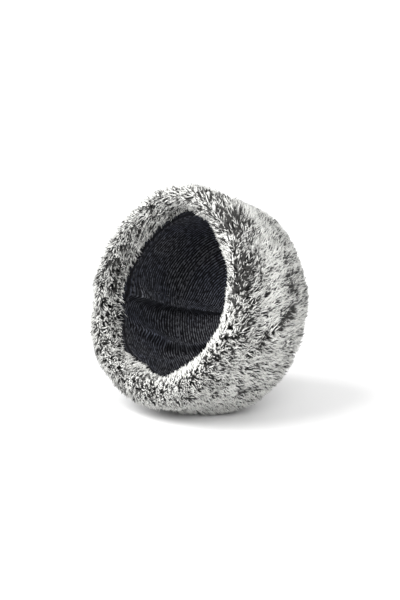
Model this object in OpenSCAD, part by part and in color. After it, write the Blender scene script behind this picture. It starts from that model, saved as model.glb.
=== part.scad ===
// Furry windscreen: a short, wide fur cap that slips over a large microphone head.
// It lies on its wall with the opening facing -Y and tipped up. The floor is z = 0.
// Every layer is a surface of revolution about the cap's own axis, which runs from the
// front of the opening roll to the crown; "s" is the distance along that axis.

/* [Cap] */
// Outer diameter of the wall, over the tips of the pile
body_d = 126; // [115:1:150]
// Depth along the axis, from the front of the opening roll to the crown
depth = 73; // [62:1:95]
// How square the edge between wall and crown is: 2 would be a half ball
edge_squareness = 3.5; // [3:0.5:5]
// Angle by which the opening tips up
tilt = 20; // [0:1:25]
// How far the pile is pressed flat where the cap rests on it
base_squash = 3.5; // [1:0.5:5]

/* [Opening roll] */
// Thickness of the roll of fur around the opening
roll_d = 20.5; // [18:0.5:24]
// How far the roll stands out past the wall
roll_proud = 1.5; // [0:0.5:3]
// Depth of the rounded fold behind the roll, where the pile parts over the seam
crease_r = 5; // [3:0.5:6]
// Where the lining is hemmed to the roll, in degrees behind the narrowest part of the opening
hem_angle = 15; // [10:5:30]

/* [Cloth] */
// Length of the fur's pile
pile_h = 8.5; // [6:0.5:9]
// Thickness of the fur's knitted backing
backing_t = 1.2; // [0.8:0.1:1.6]
// Thickness of the open-cell foam interliner
foam_t = 4; // [3:0.5:6]
// Thickness of the ribbed knit lining
lining_t = 1; // [0.8:0.1:1.5]

/* [Elastic and thread] */
// Width of the elastic inside the roll
elastic_w = 12; // [8:0.5:13]
// Thickness of the elastic
elastic_t = 1.5; // [1:0.1:2]
// Room between the elastic and its casing
elastic_gap = 0.2; // [0.1:0.05:0.4]
// Diameter of a line of stitching
thread_d = 0.8; // [0.5:0.1:1]

/* [Hidden] */

$fn = 96;

fur_grey = [0.64, 0.64, 0.62];
lining_black = [0.13, 0.14, 0.16];
foam_grey = [0.25, 0.25, 0.26];
elastic_black = [0.08, 0.08, 0.09];
thread_black = [0.05, 0.05, 0.06];

// Radii and places in the section
roll_r = roll_d / 2;
body_r = body_d / 2;
roll_ring_r = body_r + roll_proud - roll_r;
wall_s = roll_d + crease_r / 2;
fur_t = pile_h + backing_t;
lining_in = fur_t + foam_t + lining_t;

// Angles that name places along the section: the fold behind the roll is below 0,
// the wall runs from 0 to the crown's seam, and 90 is the middle of the crown.
fold_end = -90;
crown_seam = 45;
crown_mid = 90;
section_step = 4.5;

// A point of the section, that far in from the tips of the pile. Only the pile curls down
// into the fold: the cloth under it runs straight on to the roll.
function fold_drop(a, inset) = crease_r * (1 - cos(a)) * max(0, 1 - inset / fur_t);
function fold_point(a, inset) =
  [wall_s + crease_r * sin(a), body_r - inset - fold_drop(a, inset)];
function edge_point(a, inset) = [
  wall_s + (depth - wall_s - inset) * pow(sin(a), 2 / edge_squareness),
  (body_r - inset) * pow(cos(a), 2 / edge_squareness)
];
function section_point(a, inset) = a < 0 ? fold_point(a, inset) : edge_point(a, inset);
// Layers that reach the fold run on to the middle of the roll, which is then cut out of them
function section_line(a0, a1, inset) = [
  if (a0 == fold_end) [roll_r, section_point(fold_end, inset)[1]],
  for (a = [a0:section_step:a1]) section_point(a, inset)
];
function reversed(list) = [for (i = [len(list) - 1:-1:0]) list[i]];
function swapped(list) = [for (p = list) [p[1], p[0]]];

// Where the cap stands: its lowest line is pressed into the floor by base_squash,
// and the middle of its box is over the origin.
outline = section_line(0, crown_mid, 0);
wall_low = max([for (p = outline) p[0] * sin(tilt) + p[1] * cos(tilt)]);
roll_low = roll_r * sin(tilt) + roll_ring_r * cos(tilt) + roll_r;
axis_z = max(wall_low, roll_low) - base_squash;
back_y = max([for (p = outline) p[0] * cos(tilt) + p[1] * sin(tilt)]);
front_y = roll_r * cos(tilt) - roll_ring_r * sin(tilt) - roll_r;
axis_y = -(front_y + back_y) / 2;

// Places of the stitching in the section
seam_inset = pile_h + backing_t / 2;
rim_seam_r = body_r - seam_inset;
// The back of the roll at that distance from the axis
function roll_back_s(r) = roll_r + sqrt(pow(roll_r, 2) - pow(r - roll_ring_r, 2));
// A point on the roll's inner side, that many degrees behind its narrowest part
function roll_side(a) = [roll_r + roll_r * sin(a), roll_ring_r - roll_r * cos(a)];
// The stitching stands back from the edge of the hem by its own width
hem_stitch_angle = hem_angle + atan(thread_d / roll_r);
// Where the lining leaves the roll and runs on along the foam
lining_leaves_angle = acos((roll_ring_r - body_r + lining_in) / (roll_r + lining_t));

// Stands the cap's axis in its resting place
module in_place() {
  translate([0, axis_y, axis_z])
    rotate([-(90 + tilt), 0, 0])
      children();
}

// Presses flat what is below the floor
module pressed() {
  reach = 2 * (body_d + depth);
  intersection() {
    in_place() children();
    translate([-reach / 2, -reach / 2, 0]) cube(reach);
  }
}

// The layer between two depths below the pile's tips, from one angle to another
module layer_section(a0, a1, outer, inner) {
  polygon(swapped(concat(
    section_line(a0, a1, outer),
    reversed(section_line(a0, a1, inner))
  )));
}

module roll_section() {
  translate([roll_ring_r, roll_r]) circle(roll_r);
}

// A line of stitching that runs round the cap
module thread_section(s, r) {
  translate([r, s]) circle(thread_d / 2, $fn = 24);
}

module rim_seam_section() {
  thread_section(roll_back_s(rim_seam_r), rim_seam_r);
}

module crown_seam_section(inset) {
  p = section_point(crown_seam, inset);
  thread_section(p[0], p[1]);
}

module hem_section() {
  p = roll_side(hem_stitch_angle);
  thread_section(p[0], p[1]);
}

// The front of the lining, which lies over the inner side of the roll from the hem to the foam
module lining_lip_section() {
  reach = 2 * roll_r;
  function ray(a) = [roll_ring_r - reach * cos(a), roll_r + reach * sin(a)];
  intersection() {
    difference() {
      translate([roll_ring_r, roll_r]) circle(roll_r + lining_t);
      roll_section();
    }
    polygon([[roll_ring_r, roll_r], ray(hem_angle), ray(lining_leaves_angle)]);
  }
}

// Half of a ring, on the side that the angle names: 90 left, -90 right, 180 upper, 0 lower
module half_ring(side) {
  rotate([0, 0, side]) rotate_extrude(angle = 180) children();
}

// The fur's seams at the top and bottom, or the lining's at its two sides: a flat run of
// stitching along the wall, of one thread's width, centred on the plane where halves meet
module run_of_stitching(outer, inner, turn) {
  first = 9;
  last = 36;
  for (side = [0, 180])
    rotate([0, 0, side + turn])
      rotate([90, 0, 0])
        translate([0, 0, -thread_d / 2])
          linear_extrude(thread_d) layer_section(first, last, outer, inner);
}

module fur_side_stitching() {
  run_of_stitching(pile_h, pile_h + backing_t, 90);
}

module lining_side_stitching() {
  run_of_stitching(fur_t + foam_t, lining_in, 0);
}

// Front roll: the shell's fur folded in round the opening, with a casing for the elastic
module rim_fur(side) {
  casing_w = elastic_w + 2 * elastic_gap;
  casing_t = elastic_t + 2 * elastic_gap;
  color(fur_grey)
    pressed()
      half_ring(side)
        difference() {
          roll_section();
          translate([roll_ring_r - casing_t / 2, roll_r - casing_w / 2]) square([casing_t, casing_w]);
          rim_seam_section();
          hem_section();
        }
}

module rim_fur_left() {
  rim_fur(90);
}

module rim_fur_right() {
  rim_fur(-90);
}

// Half of the fur wall, from the fold behind the roll to the crown's seam
module wall_fur(side) {
  color(fur_grey)
    pressed()
      difference() {
        half_ring(side)
          difference() {
            layer_section(fold_end, crown_seam, 0, fur_t);
            roll_section();
            rim_seam_section();
            crown_seam_section(seam_inset);
          }
        fur_side_stitching();
      }
}

module wall_fur_left() {
  wall_fur(90);
}

module wall_fur_right() {
  wall_fur(-90);
}

// Round fur panel that closes the back
module crown_fur() {
  color(fur_grey)
    pressed()
      rotate_extrude()
        difference() {
          layer_section(crown_seam, crown_mid, 0, fur_t);
          crown_seam_section(seam_inset);
        }
}

// Flat elastic that draws the opening in
module rim_elastic() {
  color(elastic_black)
    in_place()
      rotate_extrude()
        translate([roll_ring_r - elastic_t / 2, roll_r - elastic_w / 2]) square([elastic_t, elastic_w]);
}

// Foam tube between the fur and the lining
module foam_wall() {
  color(foam_grey)
    in_place()
      rotate_extrude()
        difference() {
          layer_section(fold_end, crown_seam, fur_t, fur_t + foam_t);
          roll_section();
          rim_seam_section();
        }
}

// Foam disc behind the crown
module foam_crown() {
  color(foam_grey)
    in_place()
      rotate_extrude()
        layer_section(crown_seam, crown_mid, fur_t, fur_t + foam_t);
}

// Half of the ribbed lining, from the hem on the roll to the crown's seam
module lining_wall(side) {
  color(lining_black)
    in_place()
      difference() {
        half_ring(side)
          difference() {
            union() {
              difference() {
                layer_section(fold_end, crown_seam, fur_t + foam_t, lining_in);
                roll_section();
              }
              lining_lip_section();
            }
            hem_section();
            crown_seam_section(lining_in);
          }
        lining_side_stitching();
      }
}

module lining_wall_upper() {
  lining_wall(180);
}

module lining_wall_lower() {
  lining_wall(0);
}

// Round end of the lining
module lining_crown() {
  color(lining_black)
    in_place()
      rotate_extrude()
        difference() {
          layer_section(crown_seam, crown_mid, fur_t + foam_t, lining_in);
          crown_seam_section(lining_in);
        }
}

// Seam between the roll and the wall, down in the fold
module rim_seam_thread() {
  color(thread_black) in_place() rotate_extrude() rim_seam_section();
}

// Seam between the wall and the crown
module crown_seam_thread() {
  color(thread_black) in_place() rotate_extrude() crown_seam_section(seam_inset);
}

// Seams that join the two halves of the fur wall, at the top and the bottom
module side_seam_thread() {
  color(thread_black) in_place() fur_side_stitching();
}

// Hem that joins the lining to the inner side of the roll
module hem_thread() {
  color(thread_black) in_place() rotate_extrude() hem_section();
}

// Seams that join the upper and the lower half of the lining
module lining_side_thread() {
  color(thread_black) in_place() lining_side_stitching();
}

// Seam round the lining's end, standing on its inner face
module lining_crown_thread() {
  color(thread_black) in_place() rotate_extrude() crown_seam_section(lining_in);
}

rim_fur_left();
rim_fur_right();
wall_fur_left();
wall_fur_right();
crown_fur();
rim_elastic();
foam_wall();
foam_crown();
lining_wall_upper();
lining_wall_lower();
lining_crown();
rim_seam_thread();
crown_seam_thread();
side_seam_thread();
hem_thread();
lining_side_thread();
lining_crown_thread();
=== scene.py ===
import math

import bpy
import numpy as np
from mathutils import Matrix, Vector


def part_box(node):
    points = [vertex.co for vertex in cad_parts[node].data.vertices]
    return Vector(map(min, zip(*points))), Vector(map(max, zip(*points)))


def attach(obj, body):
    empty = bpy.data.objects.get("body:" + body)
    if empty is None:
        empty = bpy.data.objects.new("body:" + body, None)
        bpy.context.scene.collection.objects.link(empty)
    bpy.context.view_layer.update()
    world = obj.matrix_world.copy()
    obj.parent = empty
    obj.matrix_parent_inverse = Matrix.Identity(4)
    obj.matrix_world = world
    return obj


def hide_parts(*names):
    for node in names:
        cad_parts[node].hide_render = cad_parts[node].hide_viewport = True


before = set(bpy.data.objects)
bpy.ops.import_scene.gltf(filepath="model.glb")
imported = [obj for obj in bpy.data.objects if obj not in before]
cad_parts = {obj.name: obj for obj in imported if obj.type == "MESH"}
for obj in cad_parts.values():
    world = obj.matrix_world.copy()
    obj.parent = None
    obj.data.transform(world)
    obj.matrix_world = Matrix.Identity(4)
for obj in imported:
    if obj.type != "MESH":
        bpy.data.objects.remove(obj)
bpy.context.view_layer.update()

# ---------------------------------------------------------------------------------------
# The table and the light. The cover lies on a plain white sweep under a big soft light
# from the upper left, with the white room filling the shadows.
# ---------------------------------------------------------------------------------------
# The camera looks at AIM, from this far round from the front, above it and away from it, and
# sees SEEN_HEIGHT there from the bottom of its view to the top.
VIEW_TURN, VIEW_RISE = math.radians(48), math.radians(14)
VIEW_DISTANCE = 1.2
AIM = np.array([-0.0009, -0.0010, 0.0621])
SENSOR = 36
SEEN_HEIGHT = 0.3458


def direction(turn, rise):
    """The way from the cover to a viewer or a light at that turn and rise."""
    return np.array([math.sin(turn) * math.cos(rise), -math.cos(turn) * math.cos(rise), math.sin(rise)])


def look_along(thing, place, back):
    """Puts a camera or a light at a place, facing away from back."""
    thing.location = place
    thing.rotation_mode = "QUATERNION"
    thing.rotation_quaternion = (-Vector(back)).to_track_quat("-Z", "Y")


scene = bpy.context.scene
scene.view_settings.view_transform = "Standard"
back = direction(VIEW_TURN, VIEW_RISE)
camera = bpy.data.objects.new("camera", bpy.data.cameras.new("camera"))
camera.data.sensor_width = SENSOR
camera.data.lens = SENSOR * VIEW_DISTANCE / SEEN_HEIGHT
camera.data.clip_start, camera.data.clip_end = 0.01, 20
look_along(camera, AIM + back * VIEW_DISTANCE, back)
scene.collection.objects.link(camera)
scene.camera = camera


def soft_light(name, kind, turn, rise, distance, size, power):
    """A big soft light that faces the cover from that turn and rise in degrees. A SUN lights the
    whole table evenly, its size is an angle and its power is in W/m2; an AREA's are in m and W."""
    light = bpy.data.objects.new(name, bpy.data.lights.new(name, kind))
    setattr(light.data, "angle" if kind == "SUN" else "size", size)
    light.data.energy = power
    way = direction(math.radians(turn), math.radians(rise))
    look_along(light, AIM + way * distance, way)
    scene.collection.objects.link(light)


soft_light("key_light", "SUN", turn=-25, rise=42, distance=2.0, size=math.radians(50), power=3.9)
soft_light("side_light", "AREA", turn=62, rise=35, distance=1.5, size=0.7, power=12)
world = bpy.data.worlds.new("white_room")
world.use_nodes = True
world.node_tree.nodes["Background"].inputs["Color"].default_value = (1, 1, 1, 1)
world.node_tree.nodes["Background"].inputs["Strength"].default_value = 1.0
scene.world = world

SWEEP = 6
sweep = bpy.data.objects.new("sweep", bpy.data.meshes.new("sweep"))
sweep.data.from_pydata([(-SWEEP, -SWEEP, 0), (SWEEP, -SWEEP, 0), (SWEEP, SWEEP, 0), (-SWEEP, SWEEP, 0)],
                       [], [(0, 1, 2, 3)])
scene.collection.objects.link(sweep)
paper = bpy.data.materials.new("white_paper")
paper.use_nodes = True
paper.node_tree.nodes["Principled BSDF"].inputs["Base Color"].default_value = (0.75, 0.75, 0.75, 1)
paper.node_tree.nodes["Principled BSDF"].inputs["Roughness"].default_value = 0.7
sweep.data.materials.append(paper)

# ---------------------------------------------------------------------------------------
# The lining: a black ribbed knit, cut as an upper and a lower piece for the wall and a
# round one for the end, sewn together and hemmed to the back of the roll. It is a little
# too big for the foam behind it, so it lies in folds that run in from the opening.
# ---------------------------------------------------------------------------------------
# The cover rests tilted back. AXIS runs in through the opening and UP stands square to it.
TILT = math.radians(20)
AXIS = np.array([0, math.cos(TILT), -math.sin(TILT)])
ACROSS = np.array([1.0, 0, 0])
UP = np.array([0, math.sin(TILT), math.cos(TILT)])

# The thicknesses of its layers, half that of the roll, the fold behind the roll, how long the
# cover is and how square its edge, as the solids have them.
PILE, BACKING, FOAM, LINING = 0.0085, 0.0012, 0.004, 0.001
FUR = PILE + BACKING
ROLL = 0.01025
CREASE = 0.005
DEPTH = 0.073
SQUARENESS = 3.5
WALL_START = 2 * ROLL + CREASE / 2
wall_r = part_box("wall_fur_right")[1][0]
roll_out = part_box("rim_fur_right")[1][0]
ring_r = roll_out - ROLL
elastic_low, elastic_high = (np.array(corner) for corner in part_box("rim_elastic"))
axis_start = (elastic_low + elastic_high) / 2 - AXIS * ROLL
CROWN_SEAM = math.radians(45)
SAG = 0.003


def on_cover(s, r, turn):
    """The place that far along the cover's axis and out from it, turned from +X towards the top.
    The back of the cover has sunk a little under its own weight."""
    s, r, turn = np.broadcast_arrays(s, r, turn)
    high = r * np.sin(turn) - SAG * (np.maximum(s - ROLL, 0) / DEPTH) ** 2
    return (axis_start + s[..., None] * AXIS + (r * np.cos(turn))[..., None] * ACROSS
            + high[..., None] * UP)


def section(angle, inset):
    """A point (s, r) of the cover's section, that far in from the tips of the pile: 0 where the
    wall starts behind the fold, 90 degrees at the middle of the crown."""
    a = np.clip(angle, 0, math.pi / 2)
    s = WALL_START + (DEPTH - WALL_START - inset) * np.sin(a) ** (2 / SQUARENESS)
    r = (wall_r - inset) * np.cos(a) ** (2 / SQUARENESS)
    return s, r


def bump(x, low_side, high_side):
    """A smooth hill of height 1 at 0, that wide on its two sides."""
    return np.exp(-(x / np.where(x < 0, low_side, high_side)) ** 2)


def turn_between(turn, centre):
    """The angle from centre to turn, from -pi to pi."""
    return (turn - centre + math.pi) % (2 * math.pi) - math.pi


# The elastic draws the opening in unevenly, so its edge has soft corners and one flatter place.
# Each: its turn in degrees, how far it stands out, and its width in degrees.
LIP = 0.0440
CORNERS = [(98, 0.0073, 21), (226, 0.0048, 16), (280, 0.0025, 17), (5, 0.0025, 45), (255, -0.0020, 13),
           (172, 0.0021, 40)]
CORNER_SOFTNESS = 0.07


def lip_r(turn):
    """How far the edge of the opening is from the axis."""
    r = np.full(np.shape(turn), LIP)
    for centre, height, width in CORNERS:
        off = turn_between(turn, math.radians(centre))
        away = np.sqrt(off ** 2 + CORNER_SOFTNESS ** 2) - CORNER_SOFTNESS
        r = r + height * np.exp(-away / math.radians(width))
    return r


# The hem lies a little behind the lip. The core is the backing folded round the elastic, given
# as half its length and half its thickness. The lining leaves the roll in a bend of JOIN_ROUND.
HEM_BEHIND = math.radians(15)
CORE_LONG, CORE_THICK = 0.0072, 0.0019
JOIN_ROUND = 0.003
lining_r = wall_r - FUR - FOAM
HEM_S = ROLL + ROLL * math.sin(HEM_BEHIND)


def roll_middle(turn):
    """How far the middle of the roll is from the axis, and half its thickness there."""
    half = (roll_out - lip_r(turn)) / 2
    return roll_out - half, half


# Each fold: the turn of its ridge at the hem and at the end, its height, the widths of its
# upper and lower side, and how far along the lining it starts and stops (0 hem, 1 seam).
FOLDS = [
    (187, 190, 0.0095, 0.0090, 0.0018, -0.3, 1.9),
    (201, 197, -0.0034, 0.0045, 0.0095, -0.4, 0.8),
    (197, 258, 0.0070, 0.0080, 0.0018, 0.45, 1.8),
    (237, 238, 0.0034, 0.0025, 0.0070, 0.15, 1.4),
    (140, 150, 0.0012, 0.0090, 0.0090, 0.0, 1.6),
    (60, 40, 0.0020, 0.0060, 0.0040, -0.1, 1.4),
    (0, 8, 0.0026, 0.0050, 0.0030, -0.2, 1.7),
    (318, 312, 0.0022, 0.0050, 0.0040, -0.2, 1.5),
    (58, 50, 0.0034, 0.0150, 0.0130, -0.5, 0.22),
]
# how softly a fold starts and how softly it stops, in the same measure
FOLD_RISE, FOLD_FADE = 0.08, 0.12


def fold_height(along, turn):
    """How far the lining stands in from the foam."""
    high = np.zeros(np.broadcast(along, turn).shape)
    for start, end, height, upper, lower, first, last in FOLDS:
        ridge = np.radians(start + (end - start) * np.clip(along, 0, 2) / 2)
        # a turn grows away from the top on the left and towards it on the right
        arc = turn_between(turn, ridge) * lining_r * -np.sign(np.cos(ridge))
        begun, ended = np.exp(-(along - first) / FOLD_RISE), np.exp((along - last) / FOLD_FADE)
        present = 1 / (1 + begun) / (1 + ended)
        high = high + height * bump(arc, upper, lower) * present
    return high


# Places along the lining: where it has left the roll, where its folds reach their full height
# and where the tuck at the hem ends. EASE makes the wall bend slowly at first. The tuck turns
# TUCK_TURN times as fast as it sinks, and the lining follows the roll's back up to ROLL_BACK.
FRONT, HEM_TIGHT, TUCK = 0.35, 0.30, 0.05
EASE, TUCK_TURN, ROLL_BACK = 1.6, 3, 0.97


def lining_place(along, turn, inset, lift):
    """A place on the lining, at a depth below the pile's tips and lifted towards the hollow.
    along is 0 at the hem, 1 at the seam round the end and 2 at the end's middle."""
    along, turn = np.broadcast_arrays(along, turn)
    wall = np.clip((along - FRONT) / (1 - FRONT), 0, 1) ** EASE * CROWN_SEAM
    angle = wall + np.clip(along - 1, 0, 1) * (math.pi / 2 - CROWN_SEAM)
    s, r = section(angle, inset)
    s = np.where(along < FRONT, HEM_S + (WALL_START - HEM_S) * along / FRONT, s)
    # the front of it lies over the inner side of the roll and leaves that in a soft bend
    middle, half = roll_middle(turn)
    back = np.clip((s - ROLL) / ROLL, 0, ROLL_BACK)
    depth = np.sqrt(1 - back ** 2)
    on_roll = middle - half * depth
    share = np.clip(0.5 + (r - on_roll) / JOIN_ROUND / 2, 0, 1)
    r = r * (1 - share) + on_roll * share - JOIN_ROUND * share * (1 - share)
    angle = angle - np.arctan(half / ROLL * back / depth) * share
    # its very edge is tucked into the pile and sewn to the cloth there
    tuck = np.clip(1 - along / TUCK, 0, 1)
    r = r + (middle - CORE_THICK - r) * tuck
    angle = angle + (math.pi / 2 - angle) * np.clip(tuck * TUCK_TURN, 0, 1)
    lift = lift + fold_height(along, turn) * np.clip(along / HEM_TIGHT, 0, 1)
    return on_cover(s - lift * np.sin(angle), r - lift * np.cos(angle), turn)


def finish_mesh(name, points, corners, starts):
    """A smooth object made of points and of faces given as one run of corners."""
    mesh = bpy.data.meshes.new(name)
    mesh.vertices.add(len(points))
    mesh.vertices.foreach_set("co", np.ascontiguousarray(points, np.float32).ravel())
    mesh.loops.add(len(corners))
    mesh.loops.foreach_set("vertex_index", np.ascontiguousarray(corners, np.int32))
    mesh.polygons.add(len(starts))
    mesh.polygons.foreach_set("loop_start", np.ascontiguousarray(starts, np.int32))
    mesh.polygons.foreach_set("use_smooth", np.full(len(starts), True))
    mesh.update(calc_edges=True)
    piece = bpy.data.objects.new(name, mesh)
    scene.collection.objects.link(piece)
    return piece


def layer(name, inside, outside, ring=False, cloth=None):
    """A closed layer of cloth or foam between two grids of points. ring joins the last column
    to the first. cloth gives each point its place on the flat cloth, in metres."""
    rows, columns = inside.shape[:2]
    points = np.concatenate([inside.reshape(-1, 3), outside.reshape(-1, 3)])
    number = np.arange(rows * columns).reshape(rows, columns)
    if ring:
        number = np.concatenate([number, number[:, :1]], 1)
    a, b, c, d = number[:-1, :-1], number[:-1, 1:], number[1:, 1:], number[1:, :-1]
    far = rows * columns
    quads = [np.stack([a, b, c, d], -1).reshape(-1, 4), np.stack([a, d, c, b], -1).reshape(-1, 4) + far]
    edges = [number[0][::-1], number[-1]] + ([] if ring else [number[:, 0], number[:, -1][::-1]])
    for edge in edges:
        quads.append(np.stack([edge[:-1], edge[:-1] + far, edge[1:] + far, edge[1:]], -1))
    quads = np.concatenate(quads)
    piece = finish_mesh(name, points, quads.ravel(), np.arange(len(quads)) * 4)
    if cloth is not None:
        flat = piece.data.attributes.new("cloth", "FLOAT_VECTOR", "POINT")
        flat.data.foreach_set("vector", np.tile(cloth.reshape(-1, 3), (2, 1)).astype(np.float32).ravel())
    return piece


class Link:
    """A socket of a material. Python's operators on it add Math nodes."""

    def __init__(self, paint, socket):
        self.paint, self.socket = paint, socket

    def math(self, operation, *others):
        """A Math node on this link and the others."""
        return self.paint.node("ShaderNodeMath", {"operation": operation}, dict(enumerate((self, *others))))

    def __add__(self, other):
        return self.math("ADD", other)

    def __sub__(self, other):
        return self.math("SUBTRACT", other)

    def __rsub__(self, other):
        return self.paint.node("ShaderNodeMath", {"operation": "SUBTRACT"}, {0: other, 1: self})

    def __mul__(self, other):
        return self.math("MULTIPLY", other)

    __radd__, __rmul__ = __add__, __mul__

    def sine(self):
        return self.math("SINE")

    def between(self, low, high):
        """0 at low, 1 at high and smooth between."""
        return self.paint.node("ShaderNodeMapRange", {"interpolation_type": "SMOOTHSTEP"},
                               {"Value": self, "From Min": low, "From Max": high})


class Paint:
    """A material, built node by node round its own shader."""

    def __init__(self, name, **plain):
        self.material = bpy.data.materials.new(name)
        self.material.use_nodes = True
        self.tree = self.material.node_tree
        self.shader = self.tree.nodes["Principled BSDF"]
        for socket, value in plain.items():
            self.shader.inputs[socket.replace("_", " ")].default_value = value

    def node(self, kind, settings, sockets, output=0):
        """A node of that kind: its settings first, then the values and links of its sockets."""
        made = self.tree.nodes.new(kind)
        for setting, value in settings.items():
            setattr(made, setting, value)
        for socket, value in sockets.items():
            if isinstance(value, Link):
                self.tree.links.new(value.socket, made.inputs[socket])
            else:
                made.inputs[socket].default_value = value
        return Link(self, made.outputs[output])

    def parts(self, vector):
        """The three numbers of a vector."""
        split = self.node("ShaderNodeSeparateXYZ", {}, {"Vector": vector})
        return split, *(Link(self, split.socket.node.outputs[i]) for i in (1, 2))

    def place(self):
        """Where a point is on the object, in metres."""
        return self.node("ShaderNodeTexCoord", {}, {}, "Object")

    def noise(self, place, size, detail=3.0, roughness=0.5):
        """Soft random patches of about that size."""
        return self.node("ShaderNodeTexNoise", {},
                         {"Vector": place, "Scale": 1 / size, "Detail": detail, "Roughness": roughness})

    def blend(self, share, low, high):
        """From one colour to another."""
        return self.node("ShaderNodeMix", {"data_type": "RGBA"}, {"Factor": share, 6: low, 7: high}, 2)

    def bumps(self, height, depth):
        """The surface's slope where height makes it stand out by up to depth."""
        return self.node("ShaderNodeBump", {}, {"Height": height, "Distance": depth, "Strength": 1.0})

    def wear(self, socket, value):
        """Sends a link to one of the shader's sockets."""
        self.tree.links.new(value.socket, self.shader.inputs[socket])


RIB_PITCH, RIB_HEIGHT, LOOP_PITCH = 0.0016, 0.0003, 0.0030
# The ribs' valleys are painted near black as painted shade and their tops paler as painted highlight, with
# a slight navy cast in patches.
RIB_SHADED_BLACK, RIB_LIT_TOP = (0.002, 0.002, 0.003, 1), (0.112, 0.115, 0.126, 1)
RIB_NAVY, NAVY_PATCH = (0.072, 0.079, 0.106, 1), 0.03
FUZZ_SIZE, KNIT_BUMP = 0.0006, 0.0005
RIB_PART, LOOP_PART, FUZZ_PART, KNIT_BASE = 0.5, 1.5, 0.2, 0.15
# How far from the hem the lining is painted nearly black as painted shade under the lip, and where that
# painted shade has faded out.
HEM_SHADE_FULL_TO, HEM_SHADE_GONE_AT = 0.004, 0.0095


def knit_paint():
    """Black knit: ribs painted paler on top as painted highlight and near black between them as painted
    shade, each a row of small loops, and a slight navy cast.
    """
    paint = Paint("ribbed_knit", Roughness=0.82, Specular_IOR_Level=0.12,
                  Sheen_Weight=0.04, Sheen_Roughness=0.5, Sheen_Tint=(0.6, 0.65, 0.8, 1))
    flat = paint.node("ShaderNodeAttribute", {"attribute_name": "cloth"}, {}, "Vector")
    along = paint.parts(flat)[0]
    rib = (along * (2 * math.pi / RIB_PITCH)).sine() * 0.5 + 0.5
    loops = paint.node("ShaderNodeVectorMath", {"operation": "MULTIPLY"},
                       {0: flat, 1: (1 / RIB_PITCH, 1 / LOOP_PITCH, 1)})
    dash = paint.noise(loops, 1.0, detail=2.0, roughness=0.6)
    fuzz = paint.noise(paint.place(), FUZZ_SIZE, detail=4.0, roughness=0.7)
    height = rib * RIB_PART + (dash - 0.5) * LOOP_PART + fuzz * FUZZ_PART + KNIT_BASE
    patch = paint.noise(paint.place(), NAVY_PATCH)
    # painted highlight on the ribs' tops and painted shade in the valleys, by their height
    top = paint.blend(patch.between(0.35, 0.65), RIB_LIT_TOP, RIB_NAVY)
    # painted shade: the lining is painted nearly black for its first few millimetres from the hem, for the
    # shadow the lip casts there
    hem = along.between(HEM_SHADE_FULL_TO, HEM_SHADE_GONE_AT)
    paint.wear("Base Color", paint.blend(height.between(0.40, 1.0) * (hem * 0.9 + 0.1), RIB_SHADED_BLACK, top))
    paint.wear("Roughness", fuzz * 0.2 + 0.72)
    paint.wear("Normal", paint.bumps(height, KNIT_BUMP))
    return paint.material


knit = knit_paint()
ROW_SAMPLES = 4000


def fine_values(first, last, count):
    """Values from first to last, closest together near last, where a round panel shrinks in."""
    return first + (last - first) * np.sin(np.linspace(0, math.pi / 2, count))


def run_length(points):
    """How far along a line of points each one is."""
    return np.r_[0, np.cumsum(np.linalg.norm(np.diff(points, axis=0), axis=1))]


def even_rows(place, first, last, step):
    """Values from first to last that are evenly spaced along the cloth, and their distances."""
    fine = fine_values(first, last, ROW_SAMPLES)
    length = run_length(place(fine))
    distance = np.linspace(0, length[-1], int(length[-1] / step) + 1)
    return np.interp(distance, length, fine), distance


def rib_lift(distance):
    """The knit's ribs, which stand towards the hollow."""
    return RIB_HEIGHT * (0.5 + 0.5 * np.sin(2 * math.pi * distance / RIB_PITCH))


# LINING_END is just short of the end's middle. Rows are spaced where no fold is near.
LINING_STEP, LINING_COLUMNS = 0.00036, 200
LINING_END = 1.99996
quiet_turn = math.radians(110)


def lining_rows(first, last, step):
    """Evenly spaced places along the lining and how far each is from the first."""
    return even_rows(lambda along: lining_place(along, quiet_turn, FUR + FOAM, 0), first, last, step)


along, distance = lining_rows(0, 1, LINING_STEP)
wall_length = distance[-1]
for name, first in (("lining_wall_upper", 0), ("lining_wall_lower", 180)):
    turn = np.radians(np.linspace(first, first + 180, LINING_COLUMNS))
    rows, columns = along[:, None], turn[None, :]
    inner = lining_place(rows, columns, FUR + FOAM, LINING + rib_lift(distance)[:, None])
    outer = lining_place(rows, columns, FUR + FOAM, 0)
    flat = np.stack(np.broadcast_arrays(distance[:, None], columns * lining_r, 0 * rows), -1)
    piece = layer(name + "_knit", inner, outer, cloth=flat)
    piece.data.materials.append(knit)
    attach(piece, "root")
    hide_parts(name)

# the round end, knitted in rings that carry on from the wall's
end_along, end_distance = lining_rows(1, LINING_END, LINING_STEP)
turn = np.radians(np.linspace(0, 360, 2 * LINING_COLUMNS, endpoint=False))[None, :]
rows = end_along[:, None]
rib = rib_lift(wall_length + end_distance)[:, None]
inner = lining_place(rows, turn, FUR + FOAM, LINING + rib)
outer = lining_place(rows, turn, FUR + FOAM, 0)
seam_r = section(CROWN_SEAM, FUR + FOAM)[1]
flat = np.stack(np.broadcast_arrays(wall_length + end_distance[:, None], turn * seam_r, 0 * rows), -1)
piece = layer("lining_crown_knit", inner, outer, ring=True, cloth=flat)
piece.data.materials.append(knit)
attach(piece, "root")
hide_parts("lining_crown")
2 * seam_r
2 * seam_r
math.pi * seam_r ** 2

# ---------------------------------------------------------------------------------------
# The foam: open-cell polyether, a tube along the wall and a disc behind the crown. It is
# cut from sheet, laid between the fur and the lining and held by their seams.
# ---------------------------------------------------------------------------------------
FOAM_START, FOAM_GAP, FOAM_STEP = 0.36, 0.0002, 0.0012
FOAM_CELL, FOAM_PATCH, FOAM_BUMP = 0.0009, 0.02, 0.0006
# The pores are painted dark as painted shade inside them; the cell walls are paler.
FOAM_PORE_SHADE, FOAM_PALE = (0.012, 0.012, 0.014, 1), (0.085, 0.085, 0.09, 1)


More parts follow.
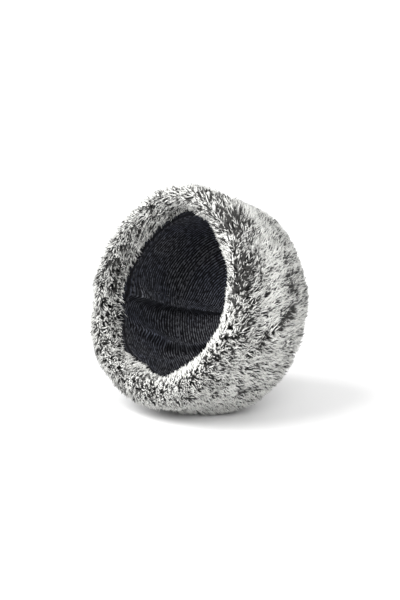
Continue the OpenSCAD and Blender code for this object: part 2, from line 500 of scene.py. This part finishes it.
def foam_paint():
    """Dark open-cell foam: pale cell walls round pores painted dark as painted shade inside them."""
    paint = Paint("open_cell_foam", Roughness=0.95, Specular_IOR_Level=0.2)
    cells = paint.node("ShaderNodeTexVoronoi", {"feature": "DISTANCE_TO_EDGE"},
                       {"Vector": paint.place(), "Scale": 1 / FOAM_CELL})
    pore = cells.between(0.02, 0.22)
    tone = paint.noise(paint.place(), FOAM_PATCH) * 0.4 + 0.8
    paint.wear("Base Color", paint.blend((1 - pore) * tone, FOAM_PORE_SHADE, FOAM_PALE))
    paint.wear("Normal", paint.bumps(1 - pore, FOAM_BUMP))
    return paint.material


foam = foam_paint()
turn = np.radians(np.arange(0, 360, 2))[None, :]
for name, first, last in (("foam_wall", FOAM_START, 1), ("foam_crown", 1, LINING_END)):
    rows = lining_rows(first, last, FOAM_STEP)[0][:, None]
    inner = lining_place(rows, turn, FUR + FOAM, -FOAM_GAP)
    outer = lining_place(rows, turn, FUR + FOAM, -FOAM + FOAM_GAP - fold_height(rows, turn))
    piece = layer(name + "_layer", inner, outer, ring=True)
    piece.data.materials.append(foam)
    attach(piece, "root")
    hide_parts(name)

# ---------------------------------------------------------------------------------------
# The elastic: a flat woven band of rubber and black yarn inside the roll, sewn into a ring. It
# draws the opening in, so it follows the opening's soft corners.
# ---------------------------------------------------------------------------------------
ELASTIC_WIDTH, ELASTIC_THICK = 0.012, 0.0015
ELASTIC_RIBS, ELASTIC_RIB_HEIGHT, ELASTIC_COLUMNS = 8, 0.00012, 33
WEAVE_PITCH, WEAVE_SLANT, ELASTIC_BUMP = 0.0008, 3, 0.0003
ELASTIC_BLACK, ELASTIC_GREY = (0.01, 0.01, 0.012, 1), (0.05, 0.05, 0.055, 1)


def elastic_paint():
    """Woven elastic: lengthwise ribs crossed by the slant of the weave."""
    paint = Paint("woven_elastic", Roughness=0.6)
    flat = paint.node("ShaderNodeAttribute", {"attribute_name": "cloth"}, {}, "Vector")
    along, across, _ = paint.parts(flat)
    rib = (across * (2 * math.pi * ELASTIC_RIBS / ELASTIC_WIDTH)).sine() * 0.5 + 0.5
    weave = (along * (2 * math.pi / WEAVE_PITCH) + rib * WEAVE_SLANT).sine() * 0.5 + 0.5
    height = rib * 0.6 + weave * 0.4
    paint.wear("Base Color", paint.blend(height, ELASTIC_BLACK, ELASTIC_GREY))
    paint.wear("Normal", paint.bumps(height, ELASTIC_BUMP))
    return paint.material


turn = np.radians(np.arange(0, 360, 1.5))[None, :]
across = np.linspace(-ELASTIC_WIDTH / 2, ELASTIC_WIDTH / 2, ELASTIC_COLUMNS)[:, None]
rib = ELASTIC_RIB_HEIGHT * np.sin(2 * math.pi * ELASTIC_RIBS * across / ELASTIC_WIDTH)
middle, half = roll_middle(turn)
inner = on_cover(ROLL + across, middle - ELASTIC_THICK / 2 + rib, turn)
outer = on_cover(ROLL + across, middle + ELASTIC_THICK / 2 + rib, turn)
flat = np.stack(np.broadcast_arrays(turn * ring_r, across, 0 * turn), -1)
piece = layer("rim_elastic_band", inner, outer, ring=True, cloth=flat)
piece.data.materials.append(elastic_paint())
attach(piece, "root")
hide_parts("rim_elastic")

# ---------------------------------------------------------------------------------------
# The fur's cloth: a dark knitted backing that carries the pile. Two halves make the roll,
# folded round the elastic, two make the wall and a round one closes the back.
# ---------------------------------------------------------------------------------------
# Round the roll: where the wall's fold starts, where the pile ends and where the cloth is hemmed.
FOLD_BACK, PILE_END, HEM_TURN = math.radians(-52), math.radians(196), math.radians(236)


def roll_place(round_it, turn, in_from_tips):
    """A place on the roll, round_it from its outside (0) over the front (90) to the lip (180).
    in_from_tips is 0 at the tips of the pile and 1 at the backing that wraps the elastic."""
    middle, half = roll_middle(turn)
    long = ROLL + (CORE_LONG - ROLL) * in_from_tips
    thick = half + (CORE_THICK - half) * in_from_tips
    return on_cover(ROLL - long * np.sin(round_it), middle + thick * np.cos(round_it), turn)


def wall_place(angle, turn, inset):
    """A place in the wall or crown. Angles below 0 run down into the fold behind the roll."""
    s, r = section(angle, inset)
    fold = np.minimum(angle, 0)
    s = s + CREASE * np.sin(fold)
    r = r - CREASE * (1 - np.cos(fold)) * max(0, 1 - inset / PILE)
    return on_cover(s, r, turn)


BACKING_LOOP, BACKING_PATCH, BACKING_BUMP = 0.0009, 0.015, 0.0005
BACKING_DARK, BACKING_PALE = (0.018, 0.018, 0.02, 1), (0.06, 0.06, 0.062, 1)


def backing_paint():
    """The knitted back of faux fur: small even loops, dark like the pile's roots."""
    paint = Paint("fur_backing", Roughness=0.9)
    loops = paint.node("ShaderNodeTexVoronoi", {}, {"Vector": paint.place(), "Scale": 1 / BACKING_LOOP})
    patch = paint.noise(paint.place(), BACKING_PATCH)
    paint.wear("Base Color", paint.blend(loops * 0.7 + patch * 0.5, BACKING_DARK, BACKING_PALE))
    paint.wear("Normal", paint.bumps(loops, BACKING_BUMP))
    return paint.material


backing = backing_paint()


def add_backing(name, inner, outer, ring=False):
    """One panel of the fur's cloth."""
    piece = layer(name + "_cloth", inner, outer, ring=ring)
    piece.data.materials.append(backing)
    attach(piece, "root")
    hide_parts(name)


# CROWN_MIDDLE is just short of the crown's middle. The backing's inner side is a little nearer
# the elastic than its outer one.
CROWN_MIDDLE, CROWN_STEP = math.radians(89.998), 0.0012
INNER_SIDE = 1 + BACKING / ROLL
halves = {"left": np.radians(np.arange(90, 271, 2)), "right": np.radians(np.arange(-90, 91, 2))}
roll_rows = np.linspace(FOLD_BACK, HEM_TURN, 60)[:, None]
wall_rows = np.linspace(-math.pi / 2, CROWN_SEAM, 50)[:, None]
crown_rows = even_rows(lambda angle: wall_place(angle, quiet_turn, PILE), CROWN_SEAM, CROWN_MIDDLE,
                       CROWN_STEP)[0][:, None]
for side, turn in halves.items():
    columns = turn[None, :]
    add_backing("rim_fur_" + side, roll_place(roll_rows, columns, INNER_SIDE),
                roll_place(roll_rows, columns, 1))
    add_backing("wall_fur_" + side, wall_place(wall_rows, columns, FUR),
                wall_place(wall_rows, columns, PILE))
turn = np.radians(np.arange(0, 360, 2))[None, :]
add_backing("crown_fur", wall_place(crown_rows, turn, FUR), wall_place(crown_rows, turn, PILE), ring=True)

# ---------------------------------------------------------------------------------------
# The pile: two-tone acrylic fur, charcoal at the root and frosted white at the tip, sheared
# short; the root is painted darker still as painted shade deep in the pile. Its fibres gather into
# small tufts that hook over this way and that, so dark roots show between the white tips. It parts
# over seams and creases and is pressed flat under the cover. Over the roll and the wall its tufts
# are painted paler or darker by place, as painted highlight and painted shade.
# ---------------------------------------------------------------------------------------
# The root is painted near black, darker than the charcoal of the fibre's body: painted shade deep in the
# pile.
ROOT_DYE_AND_SHADE, BODY_COLOUR = (0.008, 0.008, 0.009, 1), (0.048, 0.047, 0.045, 1)
TIP_COLOUR = (0.95, 0.95, 0.92, 1)
# How far down from the tip a fibre is frosted, by its shade and more for the palest ones, among them
# those of the painted highlight along the lip, and how quickly the frost sets in. Some tips darken
# again, from a place that differs by shade.
FROST_DOWN, PALEST, PALEST_DOWN, FROST_SETS_IN = 0.34, 0.90, 0.40, 7.0
WORN_FROM, WORN_RANGE, WORN_STEPS, WORN_FADE, WORN_DARK = 0.78, 0.5, 9.9, 0.12, 0.8
FROST_LEAST, FROST_BY_SHADE = 0.55, 0.5


def pile_paint():
    """A fibre's colour from its root (0) to its tip (1), darker or more frosted by its shade. Near the root
    it is painted almost black, as painted shade deep in the pile.
    """
    paint = Paint("frosted_pile", Roughness=0.55, Specular_IOR_Level=0.35)
    strand = paint.node("ShaderNodeUVMap", {"uv_map": "OFBake"}, {})
    shade, length, _ = paint.parts(strand)
    start = 1.0 - shade * FROST_DOWN - shade.between(PALEST, 1.0) * PALEST_DOWN
    end = (shade * WORN_STEPS).math("FRACT") * WORN_RANGE + WORN_FROM
    frost = ((length - start) * FROST_SETS_IN).between(0.0, 1.0)
    worn = (length - end).between(0.0, WORN_FADE) * WORN_DARK
    grey = paint.blend(length.between(0.3, 0.8), ROOT_DYE_AND_SHADE, BODY_COLOUR)
    white = frost * (1 - worn) * (shade * FROST_BY_SHADE + FROST_LEAST)
    paint.wear("Base Color", paint.blend(white, grey, TIP_COLOUR))
    return paint.material


pile = pile_paint()
chance = np.random.default_rng(41)
DRIFT_WAVES, WAVE_SPREAD = 24, 1.7


class Drift:
    """A smooth random field over the cover, from waves of about one size."""

    def __init__(self, size):
        self.ways = chance.normal(0, 2 * math.pi / size / WAVE_SPREAD, (DRIFT_WAVES, 3))
        self.starts = chance.uniform(0, 2 * math.pi, DRIFT_WAVES)

    def __call__(self, points):
        return np.sin(points @ self.ways.T + self.starts).sum(1) * math.sqrt(2 / len(self.starts))


# Tufts are TUFT apart with FIBRES in each.
TUFT, FIBRES, QUICK_SHARE = 0.00105, 6, 0.35
# The way a tuft leans drifts over the cover, broadly and finely, and differs by chance. So does
# its reach, how far its tip lies over. All of them swirl a little round the cover besides.
WAY_BROAD, WAY_FINE, WAY_CHANCE = 1.2, 2.2, 0.6
REACH, REACH_DRIFT, REACH_CHANCE, REACH_LEAST, REACH_MOST = 0.0030, 0.0010, 0.0010, 0.0004, 0.0060
SWIRL, PROUD, LUMP, CURL = 0.0030, 0.0012, 0.0006, 0.0009
# The share of white-tipped tufts, how it changes from patch to patch and in the grain, and the
# shades of the two kinds of tuft, which differ by that share and by chance.
WHITE_SHARE, PATCHES, GRAIN = 0.83, 0.09, 0.15
WHITE_TUFT, DARK_TUFT, SHADE_BY_SHARE, TUFT_CHANCE, FIBRE_CHANCE = 0.78, 0.12, 0.25, 0.07, 0.06
# How wide a tuft is at its root and how much of that is left at its tip, in tufts' spacings,
# and its fibres' heights. A fibre's bend is nearly upright, then it hooks over.
ROOT_SPREAD, TIP_SPREAD, TIP_KEEPS = 0.60, 0.17, 0.28
TUFT_HEIGHTS, FIBRE_HEIGHTS = (0.92, 1.03), (0.94, 1.02)
BEND_UP, BEND_KEEPS, BEND_LEAN = 0.95, 0.65, 0.15
lean_turn, lean_reach, dark_patch = Drift(0.022), Drift(0.013), Drift(0.026)
small_patch, lump, grain, curl_turn = Drift(0.008), Drift(0.030), Drift(0.0036), Drift(0.0060)


def unit(vectors):
    """The same directions, each of length 1."""
    return vectors / np.maximum(np.linalg.norm(vectors, axis=-1, keepdims=True), 1e-12)


# a small step in turn or row, and how tufts are scattered about their even places
SMALL_TURN = 0.01
SCATTER_SAMPLES, SLOT_SHARE, ROW_JITTER = 3000, (0.05, 0.95), (-0.5, 0.5)


def scatter(place, rows, first_turn, last_turn):
    """Tuft places on a surface, evenly spread: their row value and their turn."""
    fine = fine_values(*rows, SCATTER_SAMPLES)
    middle_turn, whole = (first_turn + last_turn) / 2, last_turn - first_turn
    path = run_length(place(fine, np.full(len(fine), middle_turn), 0))
    count = max(1, int(path[-1] / TUFT))
    row_list, turn_list = [], []
    for k in range(count):
        row = np.interp((k + 0.5) / count * path[-1], path, fine)
        here = place(np.full(2, row), np.array([middle_turn, middle_turn + SMALL_TURN]), 0)
        round_it = np.linalg.norm(here[1] - here[0]) / SMALL_TURN * whole
        number = max(1, int(round_it / TUFT))
        slots = np.arange(number) + chance.uniform(*SLOT_SHARE, number)
        jitter = chance.uniform(*ROW_JITTER, number) * path[-1] / count
        row_list.append(np.interp((k + 0.5) / count * path[-1] + jitter, path, fine))
        turn_list.append(first_turn + slots / number * whole)
    return np.concatenate(row_list), np.concatenate(turn_list)


# Where the pile parts over a seam or a crease and its dark roots show, its tufts painted darker there as
# painted shade: from one place on the wall to another, each its angle and turn in degrees, with a half
# width and how much darker.
PARTINGS = [
    ((10.8, 9), (2.8, -2), 0.0022, 1.10), ((1.3, 0), (0.3, -11), 0.0019, 1.00),
    ((-28, -18), (4.3, -12), 0.0015, 0.80), ((9.8, 28), (7.3, 15), 0.0055, 0.38),
    ((1, 5), (5, 9), 0.0035, 0.36), ((8.8, -38), (5, -44), 0.0045, 0.34),
    ((34, 58), (38, 76), 0.0014, 0.45), ((41, 150), (35, 166), 0.0013, 0.45),
    ((30, 200), (24, 214), 0.0012, 0.40), ((44, -60), (39, -77), 0.0014, 0.45),
    ((18, 228), (27, 240), 0.0012, 0.35), ((38, -142), (46, -126), 0.0014, 0.45),
    ((12, 120), (16, 140), 0.0045, 0.25), ((20, 175), (8, 186), 0.0050, 0.25),
]
# How far the tips sink in a parting and open away from it, over how many widths. One wider than
# OPENS_UNDER is only a patch of painted shade. Near the crown's middle the tufts stand up.
PART_DEPTH, PART_OPEN, PART_SPREAD, OPENS_UNDER = 0.0035, 0.0028, 2.6, 0.003
CROWN_WHORL = 0.014


def tips_at(angle, turn):
    """The place of the wall's tips at an angle and a turn in degrees."""
    return wall_place(np.radians([float(angle)]), np.radians([float(turn)]), 0)[0]


partings = [(tips_at(*a), tips_at(*b), width, dark) for a, b, width, dark in PARTINGS]
crown_middle = wall_place(np.array([CROWN_MIDDLE]), np.zeros(1), 0)[0]


def nearest_on_line(points, a, b):
    """The places nearest to points on the straight line from a to b."""
    share = np.clip((points - a) @ (b - a) / ((b - a) @ (b - a)), 0, 1)
    return a + share[:, None] * (b - a)


def grow_pile(name, node, place, rows, first_turn, last_turn, root, painted_light_shift):
    """One patch of pile. place gives the surface at a depth and root is the depth of the
    fibres' roots; its shade shift darkens or frosts it by place, as painted shade and painted highlight."""
    row, turn = scatter(place, rows, first_turn, last_turn)
    ends = place(row, turn, 0)
    roots = place(row, turn, root)
    down = unit(place(row, turn, 0) - place(row - SMALL_TURN, turn, 0))
    side = unit(place(row, turn + SMALL_TURN, 0) - place(row, turn - SMALL_TURN, 0))
    out = np.cross(side, down)
    out = out * np.sign((out * (ends - roots)).sum(1))[:, None]
    height = np.linalg.norm(ends - roots, axis=1)

    # where the tuft's tip goes
    way = WAY_BROAD * lean_turn(ends) + WAY_FINE * curl_turn(ends) + chance.normal(0, WAY_CHANCE, len(row))
    lean = np.cos(way)[:, None] * down + np.sin(way)[:, None] * side
    reach = REACH + REACH_DRIFT * lean_reach(ends) + chance.normal(0, REACH_CHANCE, len(row))
    reach = np.clip(reach, REACH_LEAST, REACH_MOST)
    upright = np.clip(np.linalg.norm(ends - crown_middle, axis=1) / CROWN_WHORL, 0, 1)
    lean = (lean * reach[:, None] + side * SWIRL) * upright[:, None]
    ends = ends + lean + out * (PROUD + LUMP * lump(ends))[:, None]

    # white-tipped or dark, in a share that changes from patch to patch, is shifted by place as painted
    # shade and painted highlight, and drops in a parting, partly as painted shade
    share = WHITE_SHARE + painted_light_shift(row, turn) + PATCHES * dark_patch(ends) + PATCHES * small_patch(ends)
    share = share + GRAIN * grain(ends)
    for a, b, width, dark in partings:
        off = ends - nearest_on_line(ends, a, b)
        far = np.linalg.norm(off, axis=1)
        near = np.exp(-(far / width) ** 2)
        share = share - dark * near
        opened = dark * np.exp(-(far / width / PART_SPREAD) ** 2) * (width < OPENS_UNDER)
        ends = ends - out * (PART_DEPTH * dark * near)[:, None] + off * (PART_OPEN * opened / far)[:, None]
    shade = np.where(chance.random(len(row)) < share, WHITE_TUFT, DARK_TUFT)
    shade = shade + SHADE_BY_SHARE * (share - WHITE_SHARE) + chance.normal(0, TUFT_CHANCE, len(row))

    def spread(width):
        """Offsets of the fibres of every tuft, in the plane of the cloth."""
        round_it = chance.uniform(0, 2 * math.pi, (len(row), FIBRES))
        far = width * np.sqrt(chance.random((len(row), FIBRES)))
        return ((far * np.cos(round_it))[..., None] * down[:, None]
                + (far * np.sin(round_it))[..., None] * side[:, None])

    # each fibre of the tuft: its root, the bend that its middle is drawn towards, and its tip
    at_root = spread(TUFT * ROOT_SPREAD)
    tuft_height = chance.uniform(*TUFT_HEIGHTS, (len(row), 1))
    tall = (tuft_height * chance.uniform(*FIBRE_HEIGHTS, (len(row), FIBRES)))[..., None]
    starts = roots[:, None] + at_root
    rise = (ends - roots)[:, None] * tall
    tips = roots[:, None] + rise + at_root * TIP_KEEPS + spread(TUFT * TIP_SPREAD)
    upward = (out * height[:, None])[:, None] * BEND_UP * tall
    bend = roots[:, None] + upward + at_root * BEND_KEEPS + lean[:, None] * BEND_LEAN
    curl = chance.normal(0, CURL, (2, len(row), 1))
    bend = bend + (curl[0] * down + curl[1] * side)[:, None]
    middles = 0.25 * starts + 0.5 * bend + 0.25 * tips
    fibre_shade = shade[:, None] + chance.normal(0, FIBRE_CHANCE, (len(row), FIBRES))
    return add_fibres(name, node, starts.reshape(-1, 3), middles.reshape(-1, 3), tips.reshape(-1, 3),
                      np.clip(fibre_shade, 0, 0.999).ravel())


# A fibre has three sides, FIBRE_THICK from its core, and its middle is MIDDLE of the way up its
# strip of the map. The map has a column for each of SHADES shades.
FIBRE_THICK, SIDES, MIDDLE = 0.00018, 3, 0.66
SHADES, SHADE_WIDTH, MAP_EDGE, ROOT_CAP = 16, 0.003, 0.01, 0.02
# Fibres under the cover lie in a mat on the table, FLOOR_LAYERS times the gap below it.
FLOOR_GAP, FLOOR_LAYERS, FLOOR_PRESS = 0.0003, 4, 0.003


def add_fibres(name, node, start, middle, tip, shade):
    """Closed tapered fibres, each with a ring of points at its root, one half way and a tip."""
    count = len(start)
    along = unit(tip - start)
    first = unit(np.cross(along, unit(chance.normal(0, 1, (count, 3)))))
    second = np.cross(along, first)
    points = np.empty((count, 2 * SIDES + 1, 3), np.float32)
    for k in range(SIDES):
        angle = 2 * math.pi * k / SIDES
        ring = (first * math.cos(angle) + second * math.sin(angle)) * FIBRE_THICK
        points[:, k] = start + ring
        points[:, SIDES + k] = middle + ring
    points[:, 2 * SIDES] = tip
    mat, high = FLOOR_GAP * FLOOR_LAYERS, points[..., 2]
    pressed = FLOOR_GAP + FLOOR_GAP * (FLOOR_LAYERS - 1) * np.exp((high - mat) / FLOOR_PRESS)
    points[..., 2] = np.where(high < mat, pressed, high)
    faces = [(0, 2, 1), (0, 1, 4, 3), (1, 2, 5, 4), (2, 0, 3, 5), (3, 4, 6), (4, 5, 6), (5, 3, 6)]
    corners = np.concatenate([np.array(f) for f in faces])
    base = np.arange(count)[:, None] * (2 * SIDES + 1)
    starts = np.cumsum([0] + [len(f) for f in faces[:-1]])
    piece = finish_mesh(name, points.reshape(-1, 3), (corners + base).ravel(),
                        (starts + np.arange(count)[:, None] * len(corners)).ravel())
    # every fibre's faces lie on one narrow strip of the map, at its shade and up its length
    column = (np.floor(shade * SHADES) + 0.5) / SHADES
    strip = []
    for f in faces:
        if len(f) == 4:
            strip += [(-1, 0), (1, 0), (1, MIDDLE), (-1, MIDDLE)]
        elif 6 in f:
            strip += [(-1, MIDDLE), (1, MIDDLE), (0, 1)]
        else:
            strip += [(-1, 0), (0, ROOT_CAP), (1, 0)]
    strip = np.array(strip, np.float32)
    uv = np.empty((count, len(strip), 2), np.float32)
    uv[..., 0] = column[:, None] + strip[:, 0] * SHADE_WIDTH
    uv[..., 1] = MAP_EDGE + (1 - 2 * MAP_EDGE) * strip[:, 1]
    piece.data.uv_layers.new(name="OFBake").data.foreach_set("uv", uv.ravel())
    piece.data.materials.append(pile)
    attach(piece, "root")
    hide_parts(node)
    return piece


def plain_shade(row, turn):
    """No darker or more frosted anywhere."""
    return np.zeros(len(row))


# The roll's lip, its frosted tips whitened further as painted highlight: its row in degrees and how
# much that falls back towards the right, its width, how white it is and where round the opening it
# is whitest.
LIP_ROW, LIP_BACK, LIP_WIDE, LIP_WIDER = 196, 22, 0.25, 0.07
LIP_FROST_AND_HIGHLIGHT, LIP_EVEN, LIP_UNEVEN, LIP_BEST = 0.60, 0.62, 0.38, 0.5
# Painted shade in a band on the roll's right, towards the fold behind it: its row and turn, their widths,
# and how dark it is.
FOLD_SHADE_ROW, FOLD_SHADE_TURN = math.radians(45), math.radians(48)
FOLD_SHADE_ROWS, FOLD_SHADE_TURNS, FOLD_SHADE_DARK = 0.60, 0.65, 0.42
# The roll underneath, on top and on the right, painted a little paler or darker than the rest: painted
# light underneath and on the right, painted shade on top.
UNDER_PAINTED_LIGHT, TOP_PAINTED_SHADE, TOP_TURN, RIGHT_PAINTED_LIGHT = 0.01, 0.10, 0.6, 0.05


def roll_shade(row, turn):
    """White along the lip, frosted and with painted highlight; painted shade in a band on the right towards
    the fold and on top; painted light, paler, underneath and on the right.
    """
    lip_row = np.radians(LIP_ROW - LIP_BACK * (1 + np.cos(turn)))
    lip = np.exp(-((row - lip_row) / (LIP_WIDE + LIP_WIDER * np.cos(turn))) ** 2)
    fold = np.exp(-((row - FOLD_SHADE_ROW) / FOLD_SHADE_ROWS) ** 2) * np.exp(-((turn - FOLD_SHADE_TURN) / FOLD_SHADE_TURNS) ** 2)
    under = np.maximum(-np.sin(turn), 0)
    top = np.maximum(np.sin(turn + TOP_TURN), 0) ** 2
    right_painted_light = (np.cos(turn) > 0) * (1 - fold)
    return (LIP_FROST_AND_HIGHLIGHT * lip * (LIP_EVEN + LIP_UNEVEN * np.cos(turn + LIP_BEST)) - FOLD_SHADE_DARK * fold
            + UNDER_PAINTED_LIGHT * under - TOP_PAINTED_SHADE * top + RIGHT_PAINTED_LIGHT * right_painted_light)


# The wall: painted highlight just behind the fold, painted shade over the crown's seam and painted light,
# paler, underneath.
BEHIND_ROW, BEHIND_WIDTH, BEHIND_HIGHLIGHT = -0.25, 0.42, 0.46
SEAM_WIDTH, SEAM_PAINTED_SHADE, WALL_DARK, WALL_UNDER_PAINTED_LIGHT = 0.10, 0.14, 0.04, 0.16


def wall_shade(row, turn):
    """Painted highlight behind the fold on the right, painted shade over the crown's seam, paler underneath
    as painted light, and a little darker all over.
    """
    painted_highlight = np.exp(-((row - BEHIND_ROW) / BEHIND_WIDTH) ** 2) * (0.5 + 0.5 * np.cos(turn)) ** 2
    seam = np.exp(-((row - CROWN_SEAM) / SEAM_WIDTH) ** 2)
    under = np.maximum(-np.sin(turn), 0)
    return BEHIND_HIGHLIGHT * painted_highlight - SEAM_PAINTED_SHADE * seam - WALL_DARK + WALL_UNDER_PAINTED_LIGHT * under


# Each panel of the cover grows its pile in a few patches, side by side.
WALL_PILE_START = math.radians(-88)
panels = []
for side, start in (("left", math.pi / 2), ("right", -math.pi / 2)):
    panels.append(("rim_pile_" + side, "rim_fur_" + side, roll_place, (FOLD_BACK, PILE_END),
                   start, math.pi, 3, 1.0, roll_shade))
    panels.append(("wall_pile_" + side, "wall_fur_" + side, wall_place, (WALL_PILE_START, CROWN_SEAM),
                   start, math.pi, 4, PILE, wall_shade))
panels.append(("crown_pile", "crown_fur", wall_place, (CROWN_SEAM, CROWN_MIDDLE),
               0, 2 * math.pi, 4, PILE, plain_shade))
grown = {}
for name, node, place, rows, start, whole, patches, root, painted_light_shift in panels:
    grown[node] = []
    for k in range(patches):
        first, last = start + whole * k / patches, start + whole * (k + 1) / patches
        grown[node].append(grow_pile(f"{name}_{k + 1}", node, place, rows, first, last, root, painted_light_shift))

# what each panel was cut from: how wide it is along the cloth
measured_turn = math.radians(150)


def cut_width(place, depth, first, last):
    """How wide a panel is between two of its rows, along the cloth."""
    return run_length(place(fine_values(first, last, ROW_SAMPLES), measured_turn, depth))[-1]


roll_width = cut_width(roll_place, 1, FOLD_BACK, HEM_TURN)
wall_width = cut_width(wall_place, PILE, -math.pi / 2, CROWN_SEAM)
crown_width = 2 * cut_width(wall_place, PILE, CROWN_SEAM, math.pi / 2)

# ---------------------------------------------------------------------------------------
# The stitching: black polyester thread in short slanted stitches. It joins the roll to the
# wall, the wall to the crown, the halves of the wall, and the pieces of the lining.
# ---------------------------------------------------------------------------------------
THREAD, STITCH, STITCH_GAP, STITCH_SLANT = 0.0008, 0.0026, 0.0012, 0.0004
THREAD_BLACK, THREAD_GREY = (0.008, 0.008, 0.01, 1), (0.06, 0.06, 0.07, 1)
TWIST_SCALE, TWIST_WAVER, THREAD_BUMP = 400.0, 3.0, 0.0001


def thread_paint():
    """Two plies of black thread, twisted."""
    paint = Paint("black_thread", Roughness=0.5, Specular_IOR_Level=0.4)
    twist = paint.node("ShaderNodeTexWave", {},
                       {"Vector": paint.place(), "Scale": TWIST_SCALE, "Distortion": TWIST_WAVER})
    paint.wear("Base Color", paint.blend(twist, THREAD_BLACK, THREAD_GREY))
    paint.wear("Normal", paint.bumps(twist, THREAD_BUMP))
    return paint.material


thread = thread_paint()
# a stitch's outline: places along it and how wide it is there, and its number of sides
CAPSULE = [(0, 0), (0.06, 0.7), (0.18, 1), (0.82, 1), (0.94, 0.7), (1, 0)]
ROUND = 8


def add_stitches(name, node, runs):
    """One row of stitches. runs are lines of points, each with the direction out of the cloth;
    the stitches follow them end to end, each a little aslant."""
    points, corners, starts = [], [], []
    for line, out in runs:
        length = run_length(line)
        for begin in np.arange(0, length[-1] - STITCH, STITCH + STITCH_GAP):
            a, b = (np.array([np.interp(d, length, line[:, k]) for k in range(3)])
                    for d in (begin, begin + STITCH))
            up_here = unit(np.array([np.interp(begin, length, out[:, k]) for k in range(3)]))
            along_it = unit(b - a)
            across_it = unit(np.cross(up_here, along_it))
            a, b = a - across_it * STITCH_SLANT, b + across_it * STITCH_SLANT
            base = len(points)
            for far, wide in CAPSULE:
                for k in range(ROUND):
                    angle = 2 * math.pi * k / ROUND
                    ring = (across_it * math.cos(angle) + up_here * math.sin(angle)) * wide * THREAD / 2
                    points.append(a + (b - a) * far + ring)
            for row in range(len(CAPSULE) - 1):
                for k in range(ROUND):
                    this, next_one = base + row * ROUND + k, base + row * ROUND + (k + 1) % ROUND
                    starts.append(len(corners))
                    corners += [this, next_one, next_one + ROUND, this + ROUND]
    piece = finish_mesh(name, np.array(points), np.array(corners), np.array(starts))
    piece.data.materials.append(thread)
    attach(piece, "root")
    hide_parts(node)


def seam_run(place, low, high):
    """A line of points on a seam and the direction out of it, from the same place at two depths."""
    line = place(low)
    return line, place(high) - line


# Where the fur's seams run: the roll's behind its middle and just outside it, the halves' up the
# wall between two angles. OUTWARD is a small step out of the cloth, to find its direction.
RIM_SEAM_BACK, RIM_SEAM_OUT, OUTWARD = 0.0172, 0.0005, 0.001
SIDE_SEAM = np.radians(np.linspace(9, 36, 60))


def wall_run(angle, turn):
    """A line of stitching on the outside of the wall's backing."""
    return seam_run(lambda depth: wall_place(angle, turn, depth), PILE, PILE - OUTWARD)


circle = np.radians(np.arange(0, 361, 1.5))
rim_seam = on_cover(RIM_SEAM_BACK, roll_middle(circle)[0] + RIM_SEAM_OUT, circle)
add_stitches("rim_seam_stitches", "rim_seam_thread", [(rim_seam, np.tile(-AXIS, (len(circle), 1)))])
add_stitches("crown_seam_stitches", "crown_seam_thread",
             [wall_run(np.full(len(circle), CROWN_SEAM), circle)])
add_stitches("side_seam_stitches", "side_seam_thread",
             [wall_run(SIDE_SEAM, turn) for turn in (math.pi / 2, 3 * math.pi / 2)])


# The lining's seams, by how far along it they are, and a height above it for their direction.
HEM_ALONG, SEAM_ALONG, SIDE_ALONG, LIFTED = 0.10, 1.0, np.linspace(0.2, 0.95, 60), 0.003


def lining_run(along, turn):
    """A line of stitching on the hollow's side of the lining."""
    return seam_run(lambda lift: lining_place(along, turn, FUR + FOAM, lift),
                    LINING + RIB_HEIGHT / 2, LIFTED)


add_stitches("hem_stitches", "hem_thread", [lining_run(np.full(len(circle), HEM_ALONG), circle)])
add_stitches("lining_crown_stitches", "lining_crown_thread",
             [lining_run(np.full(len(circle), SEAM_ALONG), circle)])
add_stitches("lining_side_stitches", "lining_side_thread",
             [lining_run(SIDE_ALONG, np.full(len(SIDE_ALONG), turn)) for turn in (0, math.pi)])
